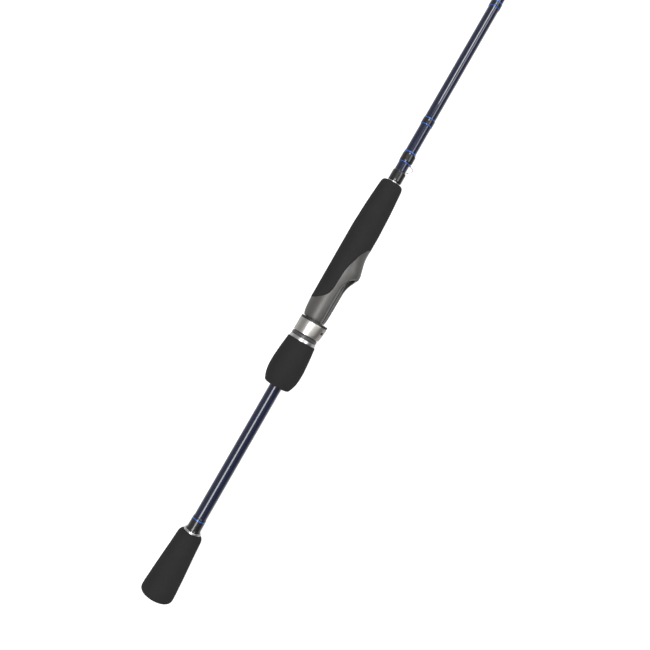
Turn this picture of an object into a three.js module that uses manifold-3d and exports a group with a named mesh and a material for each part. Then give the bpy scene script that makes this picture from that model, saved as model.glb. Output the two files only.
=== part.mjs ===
// A one-piece spinning rod with a split grip, a screw-locked pipe reel seat and seven line guides.
//
// Frame, in millimetres: the blank's axis is the X axis, from the butt at x = 0 to the tip. The rod lies
// on its side, as on a bench: +Z is up, and the reel seat's bed and all the guides face -Y.
// An angle round the rod, called "away", is measured from the reel side (-Y) in either direction.

import * as THREE from "three";
import { mergeVertices } from "three/addons/utils/BufferGeometryUtils.js";
import Module from "manifold-3d";

const wasm = await Module();
wasm.setup();

// ---------------------------------------------------------------- driving dimensions

const ROD_LENGTH = 2134; // 7 ft
const GAP = 0.1; // between pieces that are glued or wrapped together
const RUN = 0.3; // between pieces that slide or turn on each other
const ROUND = 24; // sides of the handle's round parts
const ROUND_SMALL = 12; // sides of the parts on the thin end of the blank

// The blank's outer radius at stations along it, and its wall.
const BLANK_TAPER = [
  [0, 6.03],
  [87, 6],
  [204, 5.83],
  [480, 5.25],
  [612, 5.12],
  [900, 4.3],
  [1250, 3.2],
  [1600, 2.35],
  [1900, 1.6],
  [ROD_LENGTH, 1.05],
];
const BLANK_WALL = 1.1;
const BLANK_BORE_END = 1650; // the blank is solid from here to the tip
const BLANK_START = 12; // the grip's closed end covers the blank's end

const BUTT_GRIP_END = 67;
const BUTT_CHECK_END = 69.1;
const BUTT_WRAP_END = 82.5;

// Reel seat: a threaded barrel, a flat bed for the reel's foot and a hood moulded over the bed's front end.
const PITCH = 2.5;
const THREAD_ROOT = 9;
const THREAD_CREST = 9.9;
const BARREL_START = 226;
const THREAD_START = 229;
const THREAD_END = 264;
const SHOULDER = 287.4;
const SEAT_RADIUS = 13.1;
const SEAT_BORE = 6.6;
const SEAT_CORE = 8.8; // the seat's radius inside the fore grip
const SEAT_END = 382;
const BED = 8.25; // the bed's distance from the axis
const BED_RIM = 8.75; // the raised edge on both sides of the bed
const BED_HALF = 8.5;
const SCOOP_START = 320; // where the bed begins to sweep up to the fixed hood's lip
const SCOOP_RADIUS = 22;
const HOOD_PEAK = 340.8; // the fixed hood's highest point
const HOOD_RISE = 4.2;
const HOOD_WALL = 2;
const POCKET_END = 348;
const POCKET_HALF = 8.4;

// Movable hood and the lock nut that drives it.
const HOOD_START = 271.5;
const HOOD_END = 284.8;
const LIP_END = 287;
const HOOD_RADIUS = 12.2;
const HOLE_ANGLE = THREE.MathUtils.degToRad(13);
const HOOD_FLARE = 2.5; // how much further the reel side stands out at the mouth
const SHELL_WALL = 0.7;
const HOOD_BORE = THREAD_CREST + RUN + 0.1;
const KEY_HALF = 3.5; // half the width of the keyway along the barrel
const NUT_GRIP_START = 218.8;
const NUT_GRIP_END = 265;
const NUT_RING_END = 268.1;
const NUT_SLEEVE_START = 235;
const NUT_THREAD_TURN = 6; // turns of the barrel's thread behind the nut's first turn
const NUT_THREAD_TURNS = 4;
const NUT_RADIUS = 12.3;

// Fore grip and the hook keeper in front of it.
const FORE_GRIP_END = 429.4;
const KEEPER_AT = 446.2;
const KEEPER_WIRE = 0.42;

// Guides, from the butt to the tip: the distance of the rear foot's root from the tip, the ring's nominal
// size, the height of its centre above the blank, and whether a second foot points to the tip.
const GUIDES = [
  { fromTip: 1092, size: 25, height: 24.5, twoFeet: true },
  { fromTip: 856, size: 16, height: 17, twoFeet: true },
  { fromTip: 658, size: 10, height: 11.5, twoFeet: false },
  { fromTip: 485, size: 8, height: 9, twoFeet: false },
  { fromTip: 338, size: 7, height: 7.6, twoFeet: false },
  { fromTip: 211, size: 6, height: 6.6, twoFeet: false },
  { fromTip: 99, size: 6, height: 6.2, twoFeet: false },
];
const RING_TILT = THREE.MathUtils.degToRad(14);
const TIP_RING_SIZE = 6;

// ---------------------------------------------------------------- materials

function finish(color, roughness, metalness) {
  return new THREE.MeshStandardMaterial({ color, roughness, metalness });
}

const MATERIALS = {
  blank: finish(0x1a2450, 0.15, 0.35),
  foam: finish(0x2e2e2e, 0.95, 0),
  graphite: finish(0x5c5a57, 0.5, 0.25),
  darkPlastic: finish(0x2c2d2f, 0.5, 0),
  satinSteel: finish(0xc8c4bc, 0.35, 1),
  polished: finish(0xd8d8da, 0.15, 1),
  thread: finish(0x101013, 0.12, 0),
  trim: finish(0x1f55a8, 0.15, 0.2),
  frame: finish(0x3a3b3e, 0.3, 0.9),
  ceramic: finish(0x17181a, 0.1, 0),
  arbor: finish(0x8a8578, 0.9, 0),
};

// ---------------------------------------------------------------- small helpers

const rod = new THREE.Group();

function add(name, geometry, material, parent = rod) {
  const mesh = new THREE.Mesh(geometry, material);
  mesh.name = name;
  parent.add(mesh);
  return mesh;
}

/** Straight-line interpolation in a table of [x, y] pairs sorted by x. */
function interpolate(table, x) {
  const last = table.length - 1;
  if (x <= table[0][0]) return table[0][1];
  if (x >= table[last][0]) return table[last][1];
  const next = table.findIndex((row) => row[0] > x);
  const [x0, y0] = table[next - 1];
  const [x1, y1] = table[next];
  return y0 + ((y1 - y0) * (x - x0)) / (x1 - x0);
}

const blankRadius = (x) => interpolate(BLANK_TAPER, x);

/** A smooth bump: 1 at 0, 0 at 1 and beyond, with level ends. */
function bump(t) {
  const u = Math.min(1, Math.abs(t));
  return 0.5 + 0.5 * Math.cos(Math.PI * u);
}

/**
 * Turns a closed loop of [x, radius] pairs round the X axis. Every loop in this file runs towards the tip
 * along the outside and comes back along the inside.
 */
function turned(profile, sides = ROUND) {
  const loop = [...profile, profile[0]].map(([x, r]) => new THREE.Vector2(r, x));
  return new THREE.LatheGeometry(loop, sides).rotateZ(-Math.PI / 2);
}

/** A plain tube or bush between two stations, with an outer radius that may change. */
function sleeve(x0, x1, inner, outer0, outer1 = outer0, sides = ROUND) {
  return turned([[x0, outer0], [x1, outer1], [x1, inner], [x0, inner]], sides);
}

/**
 * A ring-like solid whose section changes round the rod. section(away) gives the closed loop of [x, radius]
 * pairs at an angle from the reel side, always with the same number of points. Two lofts that meet at a
 * twisted face use opposite diagonals, since they run along that face in opposite directions.
 */
function lofted(section, sides = ROUND, otherDiagonal = false) {
  const positions = [];
  const index = [];
  let count = 0;
  for (let j = 0; j < sides; j++) {
    const around = (2 * Math.PI * j) / sides;
    const loop = section(Math.abs(Math.PI - around));
    count = loop.length;
    for (const [x, r] of loop) positions.push(x, r * Math.cos(around), r * Math.sin(around));
  }
  for (let j = 0; j < sides; j++) {
    const k = (j + 1) % sides;
    for (let i = 0; i < count; i++) {
      const next = (i + 1) % count;
      const [a, b, c, d] = [j * count + i, j * count + next, k * count + next, k * count + i];
      if (otherDiagonal) index.push(a, d, b, b, d, c);
      else index.push(a, c, b, a, d, c);
    }
  }
  const geometry = new THREE.BufferGeometry();
  geometry.setAttribute("position", new THREE.Float32BufferAttribute(positions, 3));
  geometry.setIndex(index);
  return geometry;
}

/** An outline in X and reel-side height, drawn as THREE.Shape commands, extruded across the rod. */
function acrossRod(outline, halfWidth) {
  const shape = new THREE.Shape();
  outline(shape);
  const options = { depth: 2 * halfWidth, bevelEnabled: false, curveSegments: 8 };
  // The outline's height is towards -Y, so the extrusion is turned half a turn about X.
  return new THREE.ExtrudeGeometry(shape, options).translate(0, 0, -halfWidth).rotateX(Math.PI);
}

function boxAcross(x0, x1, low, high, halfWidth) {
  return acrossRod((s) => s.moveTo(x0, low).lineTo(x1, low).lineTo(x1, high).lineTo(x0, high), halfWidth);
}

/** A wire along a curve. */
function wire(curve, radius, steps, sides = 6) {
  const section = new THREE.Shape();
  section.absarc(0, 0, radius, 0, 2 * Math.PI);
  const options = { steps, extrudePath: curve, curveSegments: sides / 2, bevelEnabled: false };
  return new THREE.ExtrudeGeometry(section, options);
}

// ---------------------------------------------------------------- joining and cutting

function solid(geometry) {
  const bare = geometry.index ? geometry.toNonIndexed() : geometry.clone();
  const others = Object.keys(bare.attributes).filter((name) => name !== "position");
  for (const name of others) bare.deleteAttribute(name);
  const merged = mergeVertices(bare, 1e-3);
  return new wasm.Manifold(
    new wasm.Mesh({
      numProp: 3,
      vertProperties: merged.attributes.position.array,
      triVerts: new Uint32Array(merged.index.array),
    }),
  );
}

function geometryOf(manifold) {
  const mesh = manifold.simplify(0.02).getMesh();
  const geometry = new THREE.BufferGeometry();
  geometry.setAttribute("position", new THREE.BufferAttribute(new Float32Array(mesh.vertProperties), 3));
  geometry.setIndex(new THREE.BufferAttribute(new Uint32Array(mesh.triVerts), 1));
  return geometry;
}

function joined(...geometries) {
  return geometries.map(solid).reduce((all, next) => all.add(next));
}

function cut(manifold, ...tools) {
  return tools.reduce((rest, tool) => rest.subtract(solid(tool)), manifold);
}

/** The space that the blank takes up between two stations, grown by a gap. */
function blankSpace(x0, x1, sides = ROUND) {
  const stations = [x0, ...BLANK_TAPER.map((row) => row[0]).filter((x) => x > x0 && x < x1), x1];
  const outside = stations.map((x) => [x, blankRadius(x) + GAP]);
  return turned([[x0, 0], ...outside, [x1, 0]], sides);
}

/**
 * One helical ridge of a screw thread, right-handed about +X. base and tip are radii, so a tip outside the
 * base makes a bolt's thread and a tip inside it makes a nut's.
 */
function threadRidge(start, turns, base, tip, baseHalf, tipHalf, steps = 12) {
  const positions = [];
  const index = [];
  const total = Math.round(turns * steps);
  for (let i = 0; i <= total; i++) {
    const around = (2 * Math.PI * i) / steps;
    const x = start + (PITCH * i) / steps;
    const section = [
      [x - baseHalf, base],
      [x - tipHalf, tip],
      [x + tipHalf, tip],
      [x + baseHalf, base],
    ];
    for (const [px, r] of section) positions.push(px, r * Math.cos(around), r * Math.sin(around));
  }
  for (let i = 0; i < total; i++) {
    for (let k = 0; k < 4; k++) {
      const next = (k + 1) % 4;
      const [a, b, c, d] = [4 * i + k, 4 * i + next, 4 * i + 4 + next, 4 * i + 4 + k];
      index.push(a, c, b, a, d, c);
    }
  }
  const end = 4 * total;
  index.push(0, 1, 2, 0, 2, 3, end, end + 2, end + 1, end, end + 3, end + 2);
  const geometry = new THREE.BufferGeometry();
  geometry.setAttribute("position", new THREE.Float32BufferAttribute(positions, 3));
  // A ridge that points inwards has its section the other way round.
  geometry.setIndex(tip < base ? index.reverse() : index);
  return geometry;
}

// ---------------------------------------------------------------- blank

function makeBlank() {
  const outside = BLANK_TAPER.map(([x, r]) => [Math.max(x, BLANK_START), r]);
  const boreStations = BLANK_TAPER.filter(([x]) => x > BLANK_START && x < BLANK_BORE_END);
  const inside = boreStations.map(([x, r]) => [x, r - BLANK_WALL]);
  const boreEnd = [BLANK_BORE_END, blankRadius(BLANK_BORE_END) - BLANK_WALL];
  const boreStart = [BLANK_START, blankRadius(BLANK_START) - BLANK_WALL];
  // The bore narrows to the axis where the solid tip begins, and the bore's mouth is at the butt.
  const bore = [[BLANK_BORE_END + 6, 0], boreEnd, ...inside.reverse(), boreStart];
  add("blank", turned([...outside, [ROD_LENGTH, 0], ...bore]), MATERIALS.blank);
}

// ---------------------------------------------------------------- butt grip

function makeButt() {
  const bore = blankRadius(BUTT_GRIP_END) + 0.2;
  const profile = [
    [0, 0],
    [0, 10.9],
    [0.8, 13.2],
    [2.2, 14.9],
    [4.6, 15.75],
    [8.1, 15.65],
    [22.5, 14.8],
    [36.9, 13.65],
    [51.3, 12.5],
    [64.2, 11.6],
    [66.2, 10.7],
    [BUTT_GRIP_END, 9.1],
    [BUTT_GRIP_END, bore],
    [BLANK_START - 0.5, bore],
    [BLANK_START - 0.5, 0],
  ];
  add("butt_grip", turned(profile), MATERIALS.foam);

  const checkBore = blankRadius(BUTT_GRIP_END) + GAP;
  const check = sleeve(BUTT_GRIP_END + GAP, BUTT_CHECK_END, checkBore, 8.4, 7.9);
  add("butt_check", check, MATERIALS.polished);

  // The wrap has a shallow groove that its coloured trim thread lies in.
  const wrapStart = BUTT_CHECK_END + GAP;
  const [trimStart, trimEnd] = [BUTT_WRAP_END - 3, BUTT_WRAP_END - 2];
  const inner = blankRadius(wrapStart) + GAP;
  const wrap = [
    [wrapStart, 6.9],
    [wrapStart + 2, 6.5],
    [trimStart, 6.42],
    [trimStart, 6.2],
    [trimEnd, 6.2],
    [trimEnd, 6.38],
    [BUTT_WRAP_END, 6.1],
    [BUTT_WRAP_END, inner],
    [wrapStart, inner],
  ];
  add("butt_wrap", turned(wrap), MATERIALS.thread);
  add("butt_trim", sleeve(trimStart + 0.05, trimEnd - 0.05, 6.25, 6.46), MATERIALS.trim);
}

// ---------------------------------------------------------------- reel seat

/** Where the fore grip begins at each angle in degrees: well back behind the rod, forward under the reel. */
const GRIP_EDGE = [
  [0, 366],
  [18, 364.6],
  [30, 361.6],
  [42.4, 357.2],
  [54, 349.8],
  [61.5, 344.2],
  [66.4, 338],
  [68, 330],
  [69, 322.5],
  [71.5, 318],
  [77, 314.4],
  [89, 310.9],
  [105, 308],
  [122, 306],
  [150, 304.4],
  [180, 303.9],
];

const gripEdge = (away) => interpolate(GRIP_EDGE, THREE.MathUtils.radToDeg(away));

// The shoulder that the movable hood stops against swells into the seat's round back.
const SEAT_BACK = [
  [SHOULDER, 10.4],
  [290.2, 11.5],
  [293.5, 12.1],
  [297, 12.5],
  [304, 12.9],
  [320, SEAT_RADIUS],
];
const HOOD_FALL = [
  [HOOD_PEAK - 24, 0],
  [HOOD_PEAK - 12, 0.55],
  [HOOD_PEAK - 3, 0.97],
  [HOOD_PEAK, 1],
  [HOOD_PEAK + 2.4, 0.8],
  [HOOD_PEAK + 6, 0.62],
  [HOOD_PEAK + 9.6, 0.38],
  [HOOD_PEAK + 13.2, 0.17],
  [HOOD_PEAK + 17, 0.04],
  [HOOD_PEAK + 21, 0],
];

/** The seat's outer radius at a station, with the fixed hood standing out on the reel side. */
function seatRadius(x, away) {
  const hood = HOOD_RISE * interpolate(HOOD_FALL, x) * bump(away / THREE.MathUtils.degToRad(78));
  return interpolate(SEAT_BACK, x) + hood;
}

/** The space under the fixed hood's roof, shrunk by an amount. */
function underRoof(shrink) {
  const stations = [SCOOP_START - 2, 330, 335, HOOD_PEAK, 344, POCKET_END];
  const space = lofted((away) => {
    const roof = stations.map((x) => [x, seatRadius(x, away) - HOOD_WALL - shrink]);
    return [...roof, [POCKET_END, 4], [SCOOP_START - 2, 4]];
  });
  return solid(space);
}

/** The outline of the space over the bed: level along the bed, then sweeping up to the fixed hood's lip. */
function bedOpen(low, half, start) {
  const centre = low + SCOOP_RADIUS;
  const outline = (s) => {
    s.moveTo(start, low);
    s.lineTo(SCOOP_START, low);
    s.absarc(SCOOP_START, centre, SCOOP_RADIUS, -Math.PI / 2, 1.2 - Math.PI / 2, false);
    s.lineTo(start, centre);
  };
  return acrossRod(outline, half);
}

function makeSeat() {
  const stations = [SHOULDER, 290.2, 293.5, 297];
  const forward = [0, 0.18, 0.36, 0.52, 0.64, 0.76, 0.88, 1];
  const body = lofted((away) => {
    const edge = gripEdge(away) - GAP;
    const rear = stations.map((x) => [x, seatRadius(x, away)]);
    const shown = forward.map((share) => {
      const x = 302 + (edge - 302) * share;
      return [x, seatRadius(x, away)];
    });
    const under = [
      [edge, SEAT_CORE],
      [SEAT_END, SEAT_CORE],
      [SEAT_END, SEAT_BORE],
      [BARREL_START, SEAT_BORE],
      [BARREL_START, THREAD_ROOT],
      [SHOULDER, THREAD_ROOT],
    ];
    return [...rear, ...shown, ...under];
  });
  const ridgeTurns = (THREAD_END - THREAD_START) / PITCH;
  const ridge = threadRidge(THREAD_START, ridgeTurns, THREAD_ROOT - 0.3, THREAD_CREST, 0.7, 0.28);
  const mouth = boxAcross(SCOOP_START - 1, POCKET_END, BED, 20, POCKET_HALF);
  const pocket = solid(mouth).intersect(underRoof(0));
  const keyway = boxAcross(BARREL_START - 5, SHOULDER + 2, BED, 20, KEY_HALF + 0.4);
  const bedGroove = boxAcross(SHOULDER + 1, SCOOP_START + 8, BED - 0.5, BED + 0.2, 0.9);
  const seat = cut(
    solid(body).add(solid(ridge)).subtract(pocket),
    bedOpen(BED_RIM, 20, SHOULDER - 0.5),
    bedOpen(BED, BED_HALF, SHOULDER - 0.5),
    keyway,
    bedGroove,
  );
  add("seat_body", geometryOf(seat), MATERIALS.graphite);

  // Bushes that centre the seat on the thinner blank.
  for (const [name, start, end] of [
    ["rear_arbor", BARREL_START + 2, BARREL_START + 32],
    ["front_arbor", SEAT_END - 42, SEAT_END - 4],
  ]) {
    const bore = blankRadius(start) + GAP;
    add(name, sleeve(start, end, bore, SEAT_BORE - GAP), MATERIALS.arbor);
  }

  // A thin pad under the fixed hood's roof, which the reel's foot presses on.
  const padBox = solid(boxAcross(HOOD_PEAK - 1.7, POCKET_END - 0.3, BED + 1.5, 20, POCKET_HALF - 1.6));
  const pad = padBox.intersect(underRoof(GAP)).subtract(underRoof(GAP + 0.6));
  add("fixed_hood_pad", geometryOf(pad), MATERIALS.darkPlastic);
}

function makeForeGrip() {
  const nose = [
    [390, 12.9],
    [400.5, 12.5],
    [408, 12.05],
    [415, 11.55],
    [422, 11],
    [426.2, 10.6],
    [428.4, 9.8],
    [FORE_GRIP_END, 8],
  ];
  const bore = SEAT_CORE + GAP;
  const boreFront = blankRadius(SEAT_END) + 0.25;
  const grip = lofted((away) => {
    const edge = gripEdge(Math.max(0, away - 0.02)) + GAP;
    const back = [0, 0.4, 0.75, 1].map((share) => {
      const x = edge + (379 - edge) * share;
      return [x, interpolate([[305, 13.05], [335, 13.2], [379, 13.3]], x)];
    });
    const inside = [
      [FORE_GRIP_END, boreFront],
      [SEAT_END + 0.3, boreFront],
      [SEAT_END + 0.3, bore],
      [edge, bore],
    ];
    return [...back, ...nose, ...inside];
  }, ROUND, true);
  add("fore_grip", grip, MATERIALS.foam);

  const checkBore = blankRadius(FORE_GRIP_END) + GAP;
  const check = sleeve(FORE_GRIP_END + GAP, FORE_GRIP_END + 1.2, checkBore, 6.4, 6);
  add("fore_check", check, MATERIALS.polished);
}

// ---------------------------------------------------------------- movable hood and lock nut

/** How far the movable hood's reel side stands out: nothing at the back, all of HOOD_FLARE at the mouth. */
function hoodFlare(x, away) {
  const along = THREE.MathUtils.clamp((x - HOOD_START) / (HOOD_END - HOOD_START), 0, 1);
  return HOOD_FLARE * Math.sqrt(along) * bump(away / THREE.MathUtils.degToRad(75));
}

function makeHood() {
  const xs = [HOOD_START + 0.4, HOOD_START + 2.2, HOOD_START + 5, HOOD_START + 8.5, HOOD_END];
  const shell = lofted((away) => {
    const outside = xs.map((x) => [x, HOOD_RADIUS + hoodFlare(x, away)]);
    const inside = xs.map((x) => [x, HOOD_RADIUS - SHELL_WALL + hoodFlare(x, away)]).reverse();
    return [...outside, ...inside];
  });
  // Two punched oval holes in the flare, one on each side of its middle.
  let pierced = solid(shell);
  for (const side of [-1, 1]) {
    const hole = new THREE.CylinderGeometry(1, 1, 6, 10).scale(1.35, 1, 1.7);
    hole.translate(0, -14, 0).rotateX(side * HOLE_ANGLE);
    pierced = cut(pierced, hole.translate(HOOD_START + 8.2, 0, 0));
  }
  add("hood_shell", geometryOf(pierced), MATERIALS.satinSteel);

  const skin = HOOD_RADIUS - SHELL_WALL - GAP;
  const liner = lofted((away) => {
    const flare = hoodFlare(HOOD_END, away);
    return [
      [HOOD_START, 11.2],
      [xs[0], skin],
      ...xs.slice(1).map((x) => [x, skin + hoodFlare(x, away)]),
      [HOOD_END + GAP, skin + flare],
      [HOOD_END + GAP, 12 + 0.95 * flare],
      [LIP_END - 0.5, 12 + 1.02 * flare],
      [LIP_END, 11.6 + flare],
      [LIP_END, HOOD_BORE],
      [HOOD_START, HOOD_BORE],
    ];
  });
  // The reel foot's heel goes in here, between the seat's bed and the flared side.
  const pocketBox = solid(boxAcross(HOOD_START + 4, LIP_END + 1, BED, 13.2, 7));
  const roof = [...xs.slice(2), LIP_END + 1];
  const underShell = lofted((away) => {
    const top = roof.map((x) => [x, skin - 0.35 + hoodFlare(x, away)]);
    return [[HOOD_START + 3.5, 10.9], ...top, [LIP_END + 1, 5], [HOOD_START + 3.5, 5]];
  });
  const footPocket = geometryOf(pocketBox.intersect(solid(underShell)));
  // A key that rides in the barrel's keyway keeps the hood from turning with the nut.
  const key = boxAcross(HOOD_START + 0.2, HOOD_START + 2.4, BED + RUN, 10.9, KEY_HALF);
  add("hood_liner", geometryOf(cut(solid(liner), footPocket).add(solid(key))), MATERIALS.darkPlastic);
}

function makeNut() {
  const collarEnd = HOOD_START - 0.2;
  const bore = THREAD_CREST + RUN;
  const sleeveRadius = 11;
  const profile = [
    [NUT_SLEEVE_START, sleeveRadius],
    [NUT_RING_END, sleeveRadius],
    [NUT_RING_END, NUT_RADIUS - 0.4],
    [NUT_RING_END + 0.6, NUT_RADIUS],
    [collarEnd - 0.6, NUT_RADIUS],
    [collarEnd, NUT_RADIUS - 0.4],
    [collarEnd, bore],
    [NUT_SLEEVE_START, bore],
  ];
  // The nut's ridge lies half a pitch from the barrel's, so the two threads are in mesh.
  const start = THREAD_START + (NUT_THREAD_TURN + 0.5) * PITCH;
  const ridge = threadRidge(start, NUT_THREAD_TURNS, bore + 0.3, THREAD_ROOT + 0.45, 0.66, 0.26);
  const nut = solid(turned(profile)).add(solid(ridge));
  add("lock_nut", geometryOf(nut), MATERIALS.graphite);

  const ringStart = NUT_GRIP_END + GAP;
  const ring = sleeve(ringStart, NUT_RING_END - GAP, sleeveRadius + GAP, 12.85, 12.4);
  add("nut_ring", ring, MATERIALS.polished);

  const blankHole = blankRadius(NUT_GRIP_START) + 0.6;
  const grip = [
    [NUT_GRIP_START, 10.4],
    [219.8, 12.2],
    [223.4, 13.8],
    [227.2, 14.95],
    [231.3, 15.6],
    [235, 15.85],
    [239, 15.9],
    [246, 15.5],
    [253, 14.9],
    [260, 14.1],
    [NUT_GRIP_END, 13.55],
    [NUT_GRIP_END, sleeveRadius + 2 * GAP],
    [NUT_SLEEVE_START - 0.3, sleeveRadius + 2 * GAP],
    [NUT_SLEEVE_START - 0.3, bore],
    [224, bore],
    [224, blankHole],
    [NUT_GRIP_START, blankHole],
  ];
  // Turned half a side, so that a flat of the widest part faces down and the rod lies steadily on it.
  add("nut_grip", turned(grip).rotateX(Math.PI / ROUND), MATERIALS.foam);
}

// ---------------------------------------------------------------- wraps and hook keeper

/** A guide's or the keeper's foot: a tongue on the reel side of the blank, thinning from root to tip. */
function foot(root, tip, thick, halfWidth, grow = 0) {
  const [low, high] = [Math.min(root, tip) - grow, Math.max(root, tip) + grow];
  const heightAt = (x) => {
    const share = THREE.MathUtils.clamp((x - tip) / (root - tip), 0, 1);
    return blankRadius(x) + 0.25 + (thick - 0.25) * share + grow;
  };
  const base = blankRadius(low) - 0.9;
  const outline = (s) =>
    s.moveTo(low, base).lineTo(high, base).lineTo(high, heightAt(high)).lineTo(low, heightAt(low));
  return acrossRod(outline, halfWidth + grow);
}

/** Thread and resin round the blank between two stations, with a swelling on the reel side over a foot. */
function wrapOver(x0, x1, thick, swelling, footSpaces, sides = ROUND_SMALL) {
  const rise = (x1 - x0) * 0.12;
  // The bore's flats clear the blank, as well as its corners.
  const bore = (x) => (blankRadius(x) + GAP) / Math.cos(Math.PI / sides);
  const tube = lofted((away) => {
    const swell = swelling * bump(away / THREE.MathUtils.degToRad(80));
    return [
      [x0, blankRadius(x0) + 0.25 + 0.3 * swell],
      [x0 + rise, blankRadius(x0 + rise) + thick + swell],
      [x1 - rise, blankRadius(x1 - rise) + thick + swell],
      [x1, blankRadius(x1) + 0.25 + 0.6 * swell],
      [x1, bore(x1)],
      [x0, bore(x0)],
    ];
  }, sides);
  return geometryOf(cut(solid(tube), ...footSpaces));
}

function makeKeeper() {
  const rearWrap = [FORE_GRIP_END + 1.3, 441.6];
  const frontWrap = [450.8, 459.8];

  // The wire comes out of the rear foot, bends round an open loop and runs into the front foot.
  const line = blankRadius(KEEPER_AT) + GAP + KEEPER_WIRE;
  const halfLoop = [
    [-5.2, 0],
    [-4.2, 0],
    [-3.1, 0.35],
    [-2.9, 1.7],
    [-2, 3.75],
  ];
  const loop = [...halfLoop, [0, 4.55], ...halfLoop.map(([dx, up]) => [-dx, up]).reverse()];
  const points = loop.map(([dx, up]) => new THREE.Vector3(KEEPER_AT + dx, -(line + up), 0));
  const rearFoot = [KEEPER_AT - 3.6, KEEPER_AT - 12, 1.05, 0.85];
  const frontFoot = [KEEPER_AT + 3.3, KEEPER_AT + 12, 1.2, 0.85];
  const loopWire = wire(new THREE.CatmullRomCurve3(points), KEEPER_WIRE, 28);
  const space = blankSpace(KEEPER_AT - 20, KEEPER_AT + 20);
  const keeper = cut(joined(loopWire, foot(...rearFoot), foot(...frontFoot)), space);
  add("hook_keeper", geometryOf(keeper), MATERIALS.polished);

  const spaces = [foot(...rearFoot, 0.15), foot(...frontFoot, 0.15)];
  add("keeper_rear_wrap", wrapOver(...rearWrap, 0.72, 0.6, spaces, ROUND), MATERIALS.thread);
  add("keeper_front_wrap", wrapOver(...frontWrap, 0.6, 0.6, spaces, ROUND), MATERIALS.thread);
  const rearTrim = [frontWrap[0] - 1, frontWrap[0] - 0.1];
  add("keeper_trim_rear", wrapOver(...rearTrim, 0.5, 1.2, spaces, ROUND), MATERIALS.trim);
  addTrim("keeper_trim_front", frontWrap[1] + 0.1, 1.2);
}

/** A narrow band of coloured thread on the blank. */
function addTrim(name, start, width, lift = 0.4) {
  const bore = blankRadius(start) + GAP;
  add(name, sleeve(start, start + width, bore, blankRadius(start) + lift), MATERIALS.trim);
}

/** A dark band with a coloured trim thread on each side. */
function makeBand(name, start, width) {
  const trim = 0.9;
  addTrim(name + "_trim_rear", start - 0.1 - trim, trim);
  const bore = blankRadius(start) + GAP;
  add(name, sleeve(start, start + width, bore, blankRadius(start) + 0.45), MATERIALS.thread);
  addTrim(name + "_trim_front", start + width + 0.1, trim);
}

// ---------------------------------------------------------------- guides

/** The wall of a guide's ring, from its nominal size to its bore. */
const ringWall = (size) => 0.85 + 0.055 * size;

function ringInsert(size) {
  const [outer, inner] = [size / 2, size / 2 - ringWall(size)];
  const half = 0.9 + 0.016 * size;
  const chamfer = 0.35 * ringWall(size);
  const section = [
    [-half, outer],
    [half, outer],
    [half, inner + chamfer],
    [half - chamfer, inner],
    [-half + chamfer, inner],
    [-half, inner + chamfer],
  ];
  return turned(section, ROUND_SMALL);
}

function collar(size) {
  const half = 0.7 + 0.012 * size;
  const wall = 0.5 + 0.012 * size;
  return sleeve(-half, half, size / 2 - 0.4, size / 2 + wall, size / 2 + wall, ROUND_SMALL);
}

/** A leg from the collar, at an angle round the ring from its blank side, down to a foot. */
function leg(centre, size, around, ends, radius) {
  const reach = size / 2 + 0.35;
  const start = new THREE.Vector3(0, reach * Math.cos(around), reach * Math.sin(around));
  start.applyAxisAngle(new THREE.Vector3(0, 0, 1), RING_TILT).add(centre);
  const middle = start.clone().lerp(ends, 0.55);
  middle.z += 0.35 * (start.z - ends.z);
  return wire(new THREE.QuadraticBezierCurve3(start, middle, ends), radius, 5);
}

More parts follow.
